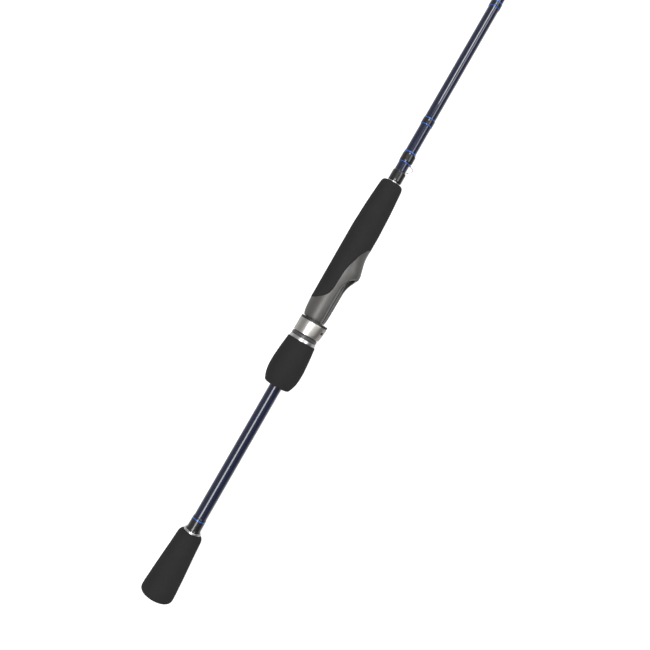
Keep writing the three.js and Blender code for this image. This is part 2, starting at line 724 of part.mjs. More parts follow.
function makeGuide(number, { fromTip, size, height, twoFeet }) {
  const station = ROD_LENGTH - fromTip;
  const name = "guide_" + number;
  const surface = blankRadius(station);
  const length = 8 + 0.32 * size; // of a foot
  const halfWidth = 0.8 + 0.045 * size;
  const thick = 0.7 + 0.02 * size;
  const wireRadius = 0.42 + 0.018 * size;
  const lean = 0.42 * height;
  const centre = new THREE.Vector3(station + lean, -(surface + height), 0);

  const axle = new THREE.Vector3(0, 0, 1);
  const place = (geometry) =>
    geometry.applyMatrix4(new THREE.Matrix4().makeRotationAxis(axle, RING_TILT)).translate(...centre);

  // Two legs rise forwards from the rear foot. A guide with a second foot has one more pair in front.
  const top = -(surface + 0.6 * thick);
  const rear = new THREE.Vector3(station - 0.8, top, 0);
  const pieces = [place(collar(size)), foot(station, station - length, thick, halfWidth)];
  const spread = THREE.MathUtils.degToRad(62);
  for (const side of [-1, 1]) {
    const end = rear.clone().setZ(side * 0.4 * halfWidth);
    pieces.push(leg(centre, size, side * spread, end, wireRadius));
  }
  const frontRoot = station + lean + 0.34 * height + 4;
  if (twoFeet) {
    const front = new THREE.Vector3(frontRoot + 0.8, -(blankRadius(frontRoot) + 0.6 * thick), 0);
    pieces.push(foot(frontRoot, frontRoot + length, thick, halfWidth));
    for (const side of [-1, 1]) {
      const end = front.clone().setZ(side * 0.4 * halfWidth);
      pieces.push(leg(centre, size, side * 0.45 * spread, end, wireRadius));
    }
  }
  const opening = place(sleeve(-6, 6, 0, size / 2 + GAP, size / 2 + GAP, ROUND_SMALL));
  const frame = cut(joined(...pieces), opening, blankSpace(station - 40, station + 60));
  add(name + "_frame", geometryOf(frame), MATERIALS.frame);

  const ring = add(name + "_ring", ringInsert(size), MATERIALS.ceramic);
  ring.position.copy(centre);
  ring.rotation.z = RING_TILT;

  const swell = thick + 0.35;
  const wrapEnd = station - 1.6;
  const rearSpace = [foot(station, station - length, thick, halfWidth, 0.12)];
  const rearName = name + (twoFeet ? "_rear_wrap" : "_wrap");
  add(rearName, wrapOver(station - length - 3, wrapEnd, 0.4, swell, rearSpace), MATERIALS.thread);
  if (twoFeet) {
    const frontSpace = [foot(frontRoot, frontRoot + length, thick, halfWidth, 0.12)];
    const frontWrap = wrapOver(frontRoot + 2.4, frontRoot + length + 3, 0.4, swell, frontSpace);
    add(name + "_front_wrap", frontWrap, MATERIALS.thread);
  }
}

function makeTipTop() {
  const [tubeStart, tubeEnd] = [ROD_LENGTH - 9, ROD_LENGTH + 1.6];
  const bore = blankRadius(tubeStart) + GAP;
  const size = TIP_RING_SIZE;
  const centre = new THREE.Vector3(ROD_LENGTH + 4.2, -3.4, 0);
  const tubeProfile = [
    [tubeStart, bore + 0.45],
    [tubeEnd - 0.8, bore + 0.45],
    [tubeEnd, 1.3],
    [tubeEnd, 0],
    [ROD_LENGTH + 0.3, 0],
    [ROD_LENGTH + 0.3, bore],
    [tubeStart, bore],
  ];
  const tube = turned(tubeProfile, ROUND_SMALL);
  const axle = new THREE.Vector3(0, 0, 1);
  const turn = new THREE.Matrix4().makeRotationAxis(axle, RING_TILT);
  const place = (geometry) => geometry.applyMatrix4(turn).translate(...centre);
  const pieces = [tube, place(collar(size))];
  const noseEnd = new THREE.Vector3(ROD_LENGTH + 0.6, -0.4, 0);
  pieces.push(leg(centre, size, 0, noseEnd, 0.6));
  for (const side of [-1, 1]) {
    const brace = new THREE.Vector3(tubeStart + 2.5, -(bore + 0.1), side * 0.5);
    pieces.push(leg(centre, size, side * 1.9, brace, 0.42));
  }
  const opening = place(sleeve(-5, 5, 0, size / 2 + GAP, size / 2 + GAP, ROUND_SMALL));
  const frame = cut(joined(...pieces), opening, blankSpace(tubeStart - 20, ROD_LENGTH + 0.2));
  add("tip_top_frame", geometryOf(frame), MATERIALS.frame);
  const ring = add("tip_top_ring", ringInsert(size), MATERIALS.ceramic);
  ring.position.copy(centre);
  ring.rotation.z = RING_TILT;

  const wrapEnd = tubeStart - GAP;
  add("tip_wrap", wrapOver(wrapEnd - 5, wrapEnd, 0.45, 0, []), MATERIALS.thread);
}

// ---------------------------------------------------------------- the rod

makeBlank();
makeButt();
makeSeat();
makeForeGrip();
makeHood();
makeNut();
makeKeeper();
makeBand("rear_band", 489.8, 5);
makeBand("front_band", 612, 3.9);
GUIDES.forEach((guide, i) => makeGuide(i + 1, guide));
makeTipTop();

export default rod;
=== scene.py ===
import math
import bmesh
import bpy
from mathutils import Matrix, Vector


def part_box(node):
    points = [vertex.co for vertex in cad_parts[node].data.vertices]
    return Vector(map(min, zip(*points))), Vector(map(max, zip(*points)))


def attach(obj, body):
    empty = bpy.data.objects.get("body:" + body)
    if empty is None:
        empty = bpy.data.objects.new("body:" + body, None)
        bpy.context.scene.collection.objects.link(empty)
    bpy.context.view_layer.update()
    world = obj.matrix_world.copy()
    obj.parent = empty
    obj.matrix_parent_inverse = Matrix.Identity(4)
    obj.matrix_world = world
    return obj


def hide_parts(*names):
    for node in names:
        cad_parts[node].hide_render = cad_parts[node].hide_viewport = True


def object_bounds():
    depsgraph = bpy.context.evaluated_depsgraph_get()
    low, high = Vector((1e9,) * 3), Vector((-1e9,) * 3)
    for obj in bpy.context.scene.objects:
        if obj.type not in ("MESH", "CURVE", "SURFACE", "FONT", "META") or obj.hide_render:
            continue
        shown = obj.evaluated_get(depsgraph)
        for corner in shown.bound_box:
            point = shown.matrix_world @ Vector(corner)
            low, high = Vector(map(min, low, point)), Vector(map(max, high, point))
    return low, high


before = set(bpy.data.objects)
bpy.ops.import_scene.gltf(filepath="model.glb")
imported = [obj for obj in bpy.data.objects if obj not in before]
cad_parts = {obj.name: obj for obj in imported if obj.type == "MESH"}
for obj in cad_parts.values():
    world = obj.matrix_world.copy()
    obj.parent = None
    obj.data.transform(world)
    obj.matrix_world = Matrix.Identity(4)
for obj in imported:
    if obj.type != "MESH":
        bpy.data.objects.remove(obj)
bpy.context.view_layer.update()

# A spinning rod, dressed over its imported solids. The tables are in millimetres, with x along the blank from
# the butt, and "away" is an angle round the rod from the reel side.

MM = 0.001
SIDES = 160

# ---------------------------------------------------------------- places read from the frame, in millimetres


def low(node):
    return Vector(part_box(node)[0]) / MM


def high(node):
    return Vector(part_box(node)[1]) / MM


TIP = high("blank").x
BUTT_END = high("butt_grip").x
SHOULDER = low("seat_body").x + 61.4
GRIP_FRONT = high("fore_grip").x
NUT_START = low("nut_grip").x
HOOD_START = low("hood_liner").x
LIP_END = high("hood_liner").x
HOOD_END = high("hood_shell").x
KEEPER = (low("hook_keeper").x + high("hook_keeper").x) / 2
BED = 8.25
BED_RIM = 8.75
SCOOP_START = SHOULDER + 32.6
SCOOP_RADIUS = 22
PEAK = SHOULDER + 53.4
HOOD_RISE = 4.2
POCKET_END = PEAK + 7.2
BARREL_START = 226
BARREL_RADIUS = 9.0
THREAD_START = 229
PITCH = 2.5
SEAT_CORE = 8.8
SEAT_BORE = 6.6
SEAT_END = 382
HOOD_RADIUS = 12.2
HOOD_FLARE = 2.5
BORE_END = 1650
BLANK_WALL = 1.1

BLANK = [(0, 6.03), (87, 6.0), (204, 5.83), (480, 5.25), (612, 5.12), (900, 4.3), (1250, 3.2), (1600, 2.35)]
BLANK += [(1900, 1.6), (TIP, 1.05)]


def line(table, x):
    """Straight-line interpolation in a table of (x, y) pairs."""
    if x <= table[0][0]:
        return table[0][1]
    for (x0, y0), (x1, y1) in zip(table, table[1:]):
        if x <= x1:
            return y0 + (y1 - y0) * (x - x0) / (x1 - x0)
    return table[-1][1]


def curve_through(table):
    """A smooth function through a table of (x, y) pairs that never overshoots them."""
    xs = [p[0] for p in table]
    ys = [p[1] for p in table]
    n = len(xs)
    slopes = [(ys[i + 1] - ys[i]) / (xs[i + 1] - xs[i]) for i in range(n - 1)]
    m = [slopes[0]] + [0.0] * (n - 2) + [slopes[-1]]
    for i in range(1, n - 1):
        a, b = slopes[i - 1], slopes[i]
        m[i] = 0.0 if a * b <= 0 else 2 * a * b / (a + b)

    def value(x):
        if x <= xs[0]:
            return ys[0]
        if x >= xs[-1]:
            return ys[-1]
        i = max(k for k in range(n - 1) if xs[k] <= x)
        h = xs[i + 1] - xs[i]
        t = (x - xs[i]) / h
        h00 = 2 * t**3 - 3 * t**2 + 1
        h10 = t**3 - 2 * t**2 + t
        h01 = -2 * t**3 + 3 * t**2
        h11 = t**3 - t**2
        return h00 * ys[i] + h10 * h * m[i] + h01 * ys[i + 1] + h11 * h * m[i + 1]

    return value


def blank_radius(x):
    """The blank's outer radius at a station."""
    return line(BLANK, x)


def bump(t):
    """1 at 0, falling smoothly to 0 at 1 and beyond."""
    return 0.5 + 0.5 * math.cos(math.pi * min(1.0, abs(t)))


# ---------------------------------------------------------------- node materials


class Nodes:
    """A short way to write a node tree round one Principled shader."""

    def __init__(self, name):
        self.material = bpy.data.materials.new(name)
        self.material.use_nodes = True
        self.tree = self.material.node_tree
        self.shader = self.tree.nodes["Principled BSDF"]
        self.place = self.add("ShaderNodeTexCoord").outputs["Object"]

    def add(self, kind, **values):
        node = self.tree.nodes.new(kind)
        for key, value in values.items():
            if hasattr(node, key):
                setattr(node, key, value)
            else:
                node.inputs[key.replace("_", " ")].default_value = value
        return node

    def link(self, a, b):
        self.tree.links.new(a, b)

    def stretched(self, x, y, z):
        """Object coordinates in metres, scaled separately along each axis."""
        node = self.add("ShaderNodeMapping")
        node.inputs["Scale"].default_value = (x, y, z)
        self.link(self.place, node.inputs["Vector"])
        return node.outputs["Vector"]

    def noise(self, scale, detail=2.0, at=None, roughness=0.5):
        node = self.add("ShaderNodeTexNoise", Scale=scale, Detail=detail, Roughness=roughness)
        self.link(at or self.place, node.inputs["Vector"])
        return node.outputs["Fac"]

    def cells(self, scale, at=None):
        node = self.add("ShaderNodeTexVoronoi", Scale=scale)
        self.link(at or self.place, node.inputs["Vector"])
        return node.outputs["Distance"]

    def ramp(self, value, *stops):
        node = self.add("ShaderNodeValToRGB")
        ramp = node.color_ramp
        while len(ramp.elements) < len(stops):
            ramp.elements.new(0.5)
        for element, (where, colour) in zip(ramp.elements, stops):
            element.position = where
            element.color = (*colour, 1) if isinstance(colour, tuple) else (colour, colour, colour, 1)
        self.link(value, node.inputs["Fac"])
        return node.outputs["Color"]

    def spread(self, value, lo, hi):
        node = self.add("ShaderNodeMapRange")
        node.inputs["To Min"].default_value = lo
        node.inputs["To Max"].default_value = hi
        self.link(value, node.inputs["Value"])
        return node.outputs["Result"]

    def sum(self, a, b, share=0.5):
        node = self.add("ShaderNodeMix", data_type="FLOAT")
        node.inputs["Factor"].default_value = share
        self.link(a, node.inputs["A"])
        self.link(b, node.inputs["B"])
        return node.outputs["Result"]

    def raise_by(self, height, distance, strength=1.0, socket="Normal"):
        node = self.add("ShaderNodeBump", Strength=strength, Distance=distance)
        self.link(height, node.inputs["Height"])
        self.link(node.outputs["Normal"], self.shader.inputs[socket])

    def set(self, **values):
        for key, value in values.items():
            socket = self.shader.inputs[key.replace("_", " ")]
            if hasattr(value, "is_linked"):
                self.link(value, socket)
            else:
                socket.default_value = (*value, 1) if isinstance(value, tuple) else value
        return self.material


def foam():
    n = Nodes("closed_cell_foam")
    pores = n.cells(1500)
    mottle = n.noise(420, 3)
    drift = n.noise(60, 1)
    mix = n.sum(n.sum(pores, mottle, 0.6), drift, 0.35)
    n.raise_by(n.sum(pores, n.noise(1100, 3), 0.5), 0.00010, 0.55)
    colour = n.ramp(mix, (0.25, (0.0052, 0.0052, 0.0054)), (0.75, (0.0098, 0.0097, 0.0098)))
    return n.set(Base_Color=colour, Roughness=n.spread(mottle, 0.78, 0.95), Specular_IOR_Level=0.25)


def navy_blank():
    n = Nodes("navy_clearcoat_graphite")
    flakes = n.cells(5200)
    scrim = n.noise(1, 2, at=n.stretched(900, 160, 160))
    colour = n.ramp(n.sum(flakes, scrim, 0.55), (0.2, (0.0018, 0.003, 0.010)), (0.8, (0.005, 0.008, 0.030)))
    n.raise_by(scrim, 0.00002, 0.25)
    roughness = n.spread(n.noise(300, 2), 0.24, 0.36)
    n.set(Base_Color=colour, Roughness=roughness, Metallic=0.0, Specular_IOR_Level=0.15)
    return n.set(Coat_Weight=1.0, Coat_Roughness=0.04, Coat_IOR=1.5)


def gunmetal(name, dark, light, rough):
    n = Nodes(name)
    speck = n.noise(2600, 2)
    cloud = n.noise(70, 2)
    colour = n.ramp(n.sum(speck, cloud, 0.5), (0.3, dark), (0.7, light))
    n.raise_by(n.noise(3000, 2), 0.00003, 0.35)
    n.set(Base_Color=colour, Roughness=n.spread(cloud, rough - 0.04, rough + 0.06), Metallic=0.25)
    return n.set(Specular_IOR_Level=0.5)


def satin_metal():
    n = Nodes("satin_brushed_silver")
    lines = n.noise(1, 3, at=n.stretched(5200, 260, 260))
    smudge = n.noise(120, 2)
    colour = n.ramp(lines, (0.3, (0.36, 0.348, 0.328)), (0.7, (0.46, 0.446, 0.422)))
    n.raise_by(lines, 0.00002, 0.3)
    return n.set(Base_Color=colour, Roughness=n.spread(smudge, 0.32, 0.42), Metallic=1.0)


def polished_metal():
    n = Nodes("polished_silver")
    lines = n.noise(1, 2, at=n.stretched(4200, 300, 300))
    colour = n.ramp(lines, (0.3, (0.44, 0.438, 0.438)), (0.7, (0.54, 0.538, 0.538)))
    n.raise_by(lines, 0.00001, 0.15)
    return n.set(Base_Color=colour, Roughness=n.spread(n.noise(200, 2), 0.27, 0.34), Metallic=1.0)


def thread(name, dark, light, metallic=0.0):
    n = Nodes(name)
    wave = n.add("ShaderNodeTexWave", wave_type="BANDS", bands_direction="X", Scale=1600, Distortion=0.4)
    n.link(n.place, wave.inputs["Vector"])
    fibre = n.noise(1, 2, at=n.stretched(2200, 700, 700))
    colour = n.ramp(n.sum(wave.outputs["Fac"], fibre, 0.4), (0.2, dark), (0.8, light))
    n.raise_by(n.sum(wave.outputs["Fac"], fibre, 0.3), 0.00006, 0.5)
    n.raise_by(n.noise(190, 2), 0.0004, 0.3, "Coat Normal")
    n.set(Base_Color=colour, Roughness=n.spread(fibre, 0.35, 0.5), Metallic=metallic, Specular_IOR_Level=0.2)
    return n.set(Coat_Weight=1.0, Coat_Roughness=0.03, Coat_IOR=1.42)


def plating():
    n = Nodes("dark_plated_steel")
    grain = n.noise(900, 3)
    colour = n.ramp(grain, (0.3, (0.10, 0.10, 0.108)), (0.7, (0.17, 0.17, 0.18)))
    n.raise_by(grain, 0.00001, 0.25)
    return n.set(Base_Color=colour, Roughness=n.spread(n.noise(400, 2), 0.16, 0.26), Metallic=1.0)


def ceramic():
    n = Nodes("polished_black_ceramic")
    grain = n.noise(1800, 2)
    colour = n.ramp(grain, (0.3, (0.006, 0.006, 0.007)), (0.7, (0.013, 0.013, 0.015)))
    return n.set(Base_Color=colour, Roughness=n.spread(grain, 0.06, 0.11), IOR=1.9)


def arbor_foam():
    n = Nodes("rigid_arbor_foam")
    grain = n.cells(2200)
    colour = n.ramp(grain, (0.1, (0.17, 0.15, 0.11)), (0.8, (0.30, 0.27, 0.21)))
    n.raise_by(grain, 0.0001, 0.6)
    return n.set(Base_Color=colour, Roughness=n.spread(grain, 0.85, 0.95))


MATERIAL = {
    "foam": foam(),
    "blank": navy_blank(),
    "graphite_resin": gunmetal("satin_gunmetal_resin", (0.046, 0.0447, 0.043), (0.064, 0.0622, 0.0596), 0.42),
    # painted shade: a darker copy of the seat resin, left on cut faces in the pocket, the bed's centre groove
    # and the rim creases
    "shaded_resin": gunmetal("shaded_resin", (0.010, 0.010, 0.010), (0.016, 0.016, 0.016), 0.6),
    "dark_resin": gunmetal("dark_resin", (0.009, 0.009, 0.0095), (0.016, 0.016, 0.017), 0.5),
    "collar": gunmetal("dark_satin_collar", (0.034, 0.034, 0.036), (0.056, 0.0555, 0.058), 0.34),
    "satin_metal": satin_metal(),
    "polished_metal": polished_metal(),
    "black_thread": thread("black_wrap", (0.0015, 0.0015, 0.002), (0.006, 0.006, 0.0072)),
    "blue_thread": thread("blue_wrap", (0.006, 0.040, 0.22), (0.022, 0.125, 0.50), 0.45),
    "guide_frame": plating(),
    "guide_ring": ceramic(),
    "arbor": arbor_foam(),
}

# ---------------------------------------------------------------- mesh building


def piece(name, verts, faces, material, body="rod", stands_for=(), slot=None, sharp=32):
    """A closed mesh from millimetre points, with its sharp edges marked by angle."""
    mesh = bpy.data.meshes.new(name)
    mesh.from_pydata([tuple(c * MM for c in v) for v in verts], [], faces)
    mesh.validate()
    mesh.shade_smooth()
    mesh.set_sharp_from_angle(angle=math.radians(sharp))
    mesh.materials.append(MATERIAL[material])
    obj = bpy.data.objects.new(name, mesh)
    bpy.context.scene.collection.objects.link(obj)
    if body:
        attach(obj, body)
        if stands_for:
            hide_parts(*stands_for)
    return obj


def evenly(sides):
    """Angles round the rod from the side away from the reel, evenly spaced."""
    return [2 * math.pi * j / sides for j in range(sides)]


def finely():
    """Angles round the rod, closer together where the fore grip's edge runs nearly along the rod."""
    step = 360 / SIDES
    aways = [step * i for i in range(int(180 / step) + 1)] + [60.3 + 0.6 * i for i in range(28)]
    aways = sorted({round(a, 2) for a in aways if a <= 180})
    back = [math.pi - math.radians(a) for a in reversed(aways)]
    return back + [math.pi + math.radians(a) for a in aways if 0 < a < 180]


def loft(section, sides=None, angles=None):
    """Points and faces of a ring-like solid. section(away) is a loop of (x, r), first along its outside."""
    angles = angles or evenly(sides or SIDES)
    sides = len(angles)
    verts, faces = [], []
    for around in angles:
        loop = section(abs(math.pi - around))
        verts += [(x, r * math.cos(around), r * math.sin(around)) for x, r in loop]
    n = len(loop)
    for j in range(sides):
        k = (j + 1) % sides
        for i in range(n):
            nxt = (i + 1) % n
            faces.append((j * n + i, k * n + i, k * n + nxt, j * n + nxt))
    return verts, faces


def rounded(corners, steps=4):
    """A loop of (x, r) or (x, r, radius) corners with the stated corners rounded."""
    out = []
    n = len(corners)
    for i, corner in enumerate(corners):
        here = Vector(corner[:2])
        radius = corner[2] if len(corner) > 2 else 0
        if not radius:
            out.append(tuple(here))
            continue
        back = (Vector(corners[i - 1][:2]) - here).normalized()
        on = (Vector(corners[(i + 1) % n][:2]) - here).normalized()
        start, end = here + back * radius, here + on * radius
        for k in range(steps + 1):
            t = k / steps
            out.append(tuple(start * (1 - t) ** 2 + here * 2 * t * (1 - t) + end * t * t))
    return out


def turned(name, corners, material, sides=None, **kw):
    loop = rounded(corners)
    verts, faces = loft(lambda away: loop, sides)
    return piece(name, verts, faces, material, **kw)


def sampled(table, step):
    """Points of a smooth curve through a table, about a step apart."""
    f = curve_through(table)
    x0, x1 = table[0][0], table[-1][0]
    n = max(2, int(round((x1 - x0) / step)))
    return [(x0 + (x1 - x0) * i / n, f(x0 + (x1 - x0) * i / n)) for i in range(n + 1)]


def tube(points, radius, sides=12):
    """Points and faces of a round wire with closed ends. radius may be a list, one for each point."""
    points = [Vector(p) for p in points]
    radii = radius if isinstance(radius, list) else [radius] * len(points)
    verts, faces = [], []
    normal = None
    for i, p in enumerate(points):
        ahead = points[min(i + 1, len(points) - 1)] - points[max(i - 1, 0)]
        ahead.normalize()
        if normal is None:
            normal = ahead.orthogonal().normalized()
        normal = (normal - ahead * normal.dot(ahead)).normalized()
        side = ahead.cross(normal)
        for k in range(sides):
            a = 2 * math.pi * k / sides
            verts.append(tuple(p + radii[i] * (math.cos(a) * normal + math.sin(a) * side)))
    for i in range(len(points) - 1):
        for k in range(sides):
            m = (k + 1) % sides
            faces.append((i * sides + k, i * sides + m, (i + 1) * sides + m, (i + 1) * sides + k))
    faces.append(tuple(reversed(range(sides))))
    faces.append(tuple(range((len(points) - 1) * sides, len(points) * sides)))
    return verts, faces


def together(*parts):
    verts, faces = [], []
    for v, f in parts:
        base = len(verts)
        verts += v
        faces += [tuple(i + base for i in face) for face in f]
    return verts, faces


def moved(part, matrix):
    """A part's points taken through a matrix."""
    return [tuple(matrix @ Vector(v)) for v in part[0]], part[1]


def extruded(outline, half):
    """An outline of (x, height towards the reel side), extruded across the rod."""
    n = len(outline)
    verts = [(x, -h, z) for z in (-half, half) for x, h in outline]
    faces = [tuple(range(n)), tuple(reversed(range(n, 2 * n)))]
    faces += [(i, i + n, (i + 1) % n + n, (i + 1) % n) for i in range(n)]
    return verts, faces


def cutter(part, material="graphite_resin"):
    """A closed mesh to cut with, which leaves its own material on the faces that it cuts."""
    obj = piece("cutter", *part, material, body=None)
    bpy.context.view_layer.update()
    face_outwards(obj)
    return obj


def face_outwards(obj):
    """Turns a mesh's faces outwards."""
    bm = bmesh.new()
    bm.from_mesh(obj.data)
    bmesh.ops.recalc_face_normals(bm, faces=bm.faces)
    bm.to_mesh(obj.data)
    bm.free()


def carve(obj, cutters, operation="DIFFERENCE"):
    """Cuts obj by each cutter, and removes the cutters."""
    for tool in cutters:
        mod = obj.modifiers.new("cut", "BOOLEAN")
        mod.operation = operation
        mod.solver = "EXACT"
        mod.material_mode = "TRANSFER"
        mod.object = tool
    graph = bpy.context.evaluated_depsgraph_get()
    mesh = bpy.data.meshes.new_from_object(obj.evaluated_get(graph))
    obj.modifiers.clear()
    old = obj.data
    obj.data = mesh
    bpy.data.meshes.remove(old)
    for tool in cutters:
        bpy.data.objects.remove(tool)
    mesh.shade_smooth()
    mesh.set_sharp_from_angle(angle=math.radians(28))


# ---------------------------------------------------------------- blank and butt


def make_blank():
    start = low("blank").x
    xs = [start] + [x for x, _ in BLANK if x > start]
    outside = [(x, blank_radius(x)) for x in xs]
    inside = [(BORE_END, blank_radius(BORE_END) - BLANK_WALL), (start, blank_radius(start) - BLANK_WALL)]
    loop = outside + [(TIP, 0.01), (BORE_END + 6, 0.01)] + inside
    turned("blank_tube", loop, "blank", stands_for=["blank"])


def make_butt():
    e = BUTT_END
    outside = [(0, 11.1, 1.0)]
    outside += sampled([(1.1, 13.5), (2.4, 15.0), (4.8, 15.72), (8.1, 15.7), (15.3, 15.2), (22.5, 14.75),
                        (36.9, 13.65), (51.3, 12.5), (e - 3.6, 11.6), (e - 1.2, 10.6)], 0.7)
    outside += [(e, 9.1, 0.5)]
    loop = [(0, 0.01)] + outside + [(e, 6.1), (11.5, 6.1), (11.5, 0.01)]
    turned("butt_foam", loop, "foam", stands_for=["butt_grip"])

    c0, c1 = low("butt_check").x, high("butt_check").x
    turned("butt_check_ring", [(c0, 8.35, 0.35), (c1, 8.1, 0.6), (c1, 5.95), (c0, 5.95)], "polished_metal",
           stands_for=["butt_check"])

    w0, w1 = low("butt_wrap").x, high("butt_wrap").x
    t0, t1 = low("butt_trim").x - 0.05, high("butt_trim").x + 0.05
    coat = sampled([(w0, 7.3), (w0 + 1.2, 6.75), (w0 + 3, 6.55), (t0, 6.45)], 0.4)
    coat += [(t0, 6.22), (t1, 6.22)]
    coat += sampled([(t1, 6.42), (w1 - 0.9, 6.32), (w1, 5.98)], 0.25)
    turned("butt_wrap_thread", coat + [(w1, 5.92), (w0, 5.92)], "black_thread", stands_for=["butt_wrap"])
    trim = [(t0 + 0.03, 6.47, 0.12), (t1 - 0.03, 6.45, 0.12), (t1 - 0.03, 6.25), (t0 + 0.03, 6.25)]
    turned("butt_trim_thread", trim, "blue_thread", stands_for=["butt_trim"])


# ---------------------------------------------------------------- reel seat and fore grip

SEAT_BACK = curve_through([(SHOULDER, 10.4), (SHOULDER + 1.2, 11.0), (SHOULDER + 2.8, 11.55),
                           (SHOULDER + 6, 12.15), (SHOULDER + 10, 12.55), (SHOULDER + 17, 12.92),
                           (SHOULDER + 33, 13.1), (SHOULDER + 93, 13.1)])
HOOD_FALL = curve_through([(PEAK - 26, 0), (PEAK - 12, 0.6), (PEAK - 3, 0.97), (PEAK, 1), (PEAK + 2.4, 0.84),
                           (PEAK + 6, 0.62), (PEAK + 9.6, 0.38), (PEAK + 13.2, 0.17), (PEAK + 17, 0.04),
                           (PEAK + 20, 0)])
EDGE = curve_through([(0, 366), (18, 364.6), (30, 361.6), (42.4, 357.2), (54, 349.8), (61.5, 344.2),
                      (66.4, 338),
                      (68, 330), (69, 322.5), (71.5, 318), (77, 314.4), (89, 310.9), (105, 308), (122, 306),
                      (150, 304.4), (180, 303.9)])


def seat_radius(x, away):
    """The seat's outer radius at a station and an angle from the reel side."""
    return SEAT_BACK(x) + HOOD_RISE * HOOD_FALL(x) * bump(math.degrees(away) / 78)


def edge_at(away):
    """The station of the fore grip's edge at an angle from the reel side."""
    return EDGE(math.degrees(away))


def bed_outline(depth, start=SHOULDER - 0.6):
    """The side view of the space over the bed, from a depth below the bed's raised edges."""
    level = BED_RIM - depth
    radius = SCOOP_RADIUS + depth
    centre = level + radius
    angles = [i * 0.05 for i in range(25)]
    arc = [(SCOOP_START + radius * math.sin(a), centre - radius * math.cos(a)) for a in angles]
    return [(start, level)] + arc + [(start, centre)]


def scoop_height(x):
    """How far the bed's raised edge lies from the axis, flat and then sweeping up to the lip."""
    if x < SCOOP_START:
        return BED_RIM
    return BED_RIM + SCOOP_RADIUS - math.sqrt(max(0.0, SCOOP_RADIUS**2 - (x - SCOOP_START) ** 2))


def rim_point(x, side, inset):
    """A point on the bed's raised edge, a little inside the seat's surface."""
    height = scoop_height(x)
    z = 9.4
    for _ in range(20):
        away = math.atan2(z, height)
        z = math.sqrt(max(0.01, seat_radius(x, away) ** 2 - height**2))
    return Vector((x, -height, side * max(0.0, z - inset)))


def make_seat():
    def section(away):
        edge = edge_at(away) - 0.12
        near = min(304.0, edge - 1.0)
        xs = [SHOULDER + (near - SHOULDER) * (i / 12) ** 1.3 for i in range(12)]
        xs += [near + (edge - near) * i / 34 for i in range(35)]
        shown = [(x, seat_radius(x, away)) for x in xs]
        last = xs[-1]
        barrel = [(BARREL_START, SEAT_BORE), (BARREL_START, BARREL_RADIUS), (SHOULDER, BARREL_RADIUS)]
        return shown + [(last, SEAT_CORE), (SEAT_END, SEAT_CORE), (SEAT_END, SEAT_BORE)] + barrel

    seat = piece("seat", *loft(section, angles=finely()), "graphite_resin", stands_for=["seat_body"])
    face_outwards(seat)
    roof_xs = [SCOOP_START - 2 + i * (POCKET_END - SCOOP_START + 2) / 16 for i in range(17)]

    def roof(away):
        return [(x, seat_radius(x, away) - 2.0) for x in roof_xs] + [(POCKET_END, 4), (roof_xs[0], 4)]

    under = loft(roof, 96)
    mouth = []
    # The deeper part of the pocket mouth is lined with painted shade; the part near the scoop keeps the seat
    # resin.
    for start, end, material in ((SCOOP_START - 1, PEAK - 7, "graphite_resin"),
                                 (PEAK - 7.1, POCKET_END - 0.5, "shaded_resin")):
        box = cutter(extruded([(start, BED), (end, BED), (end, 20), (start, 20)], 8.4), material)
        carve(box, [cutter(under, material)], "INTERSECT")
        mouth.append(box)

    keyway = [(220, BED), (SHOULDER + 2, BED), (SHOULDER + 2, 20), (220, 20)]
    tools = mouth + [cutter(extruded(bed_outline(0), 20)), cutter(extruded(bed_outline(BED_RIM - BED), 7.6))]
    # painted shade on the walls and floor of the bed's centre groove
    tools.append(cutter(extruded(bed_outline(1.5, SHOULDER + 1), 1.3), "shaded_resin"))
    tools.append(cutter(extruded(keyway, 3.9)))
    # a thin tube cut along each raised edge of the bed, its cut faces painted shade to draw a dark crease
    # line
    for side in (-1, 1):
        xs = [SHOULDER - 1 + i * 0.9 for i in range(62)]
        path = [rim_point(x, side, 0.1) for x in xs if x < PEAK - 5]
        tools.append(cutter(tube(path, 0.42, 10), "shaded_resin"))
    carve(seat, tools)

    turns, steps = 14, 24
    rows = []
    for i in range(turns * steps + 1):
        a = 2 * math.pi * i / steps
        x = THREAD_START + PITCH * i / steps
        for dx, r in ((-0.7, 8.95), (-0.28, 9.9), (0.28, 9.9), (0.7, 8.95)):
            rows.append((x + dx, r * math.cos(a), r * math.sin(a)))
    faces = []
    for i in range(turns * steps):
        for k in range(4):
            m = (k + 1) % 4
            faces.append((4 * i + k, 4 * i + m, 4 * i + 4 + m, 4 * i + 4 + k))
    last = 4 * turns * steps
    faces += [(0, 3, 2, 1), (last, last + 1, last + 2, last + 3)]
    thread_piece = piece("barrel_thread", rows, faces, "graphite_resin")
    face_outwards(thread_piece)

    pad_low, pad_high = low("fixed_hood_pad"), high("fixed_hood_pad")
    pad_xs = [pad_low.x + i * (pad_high.x - pad_low.x) / 6 for i in range(7)]
    shell = loft(lambda a: [(x, seat_radius(x, a) - 2.1) for x in pad_xs]
                 + [(x, seat_radius(x, a) - 2.7) for x in reversed(pad_xs)], 96)
    pad = piece("hood_pad", *shell, "dark_resin", stands_for=["fixed_hood_pad"])
    face_outwards(pad)
    block = [(pad_low.x - 1, 9.8), (pad_high.x + 1, 9.8), (pad_high.x + 1, 20), (pad_low.x - 1, 20)]
    carve(pad, [cutter(extruded(block, 6.8))], "INTERSECT")


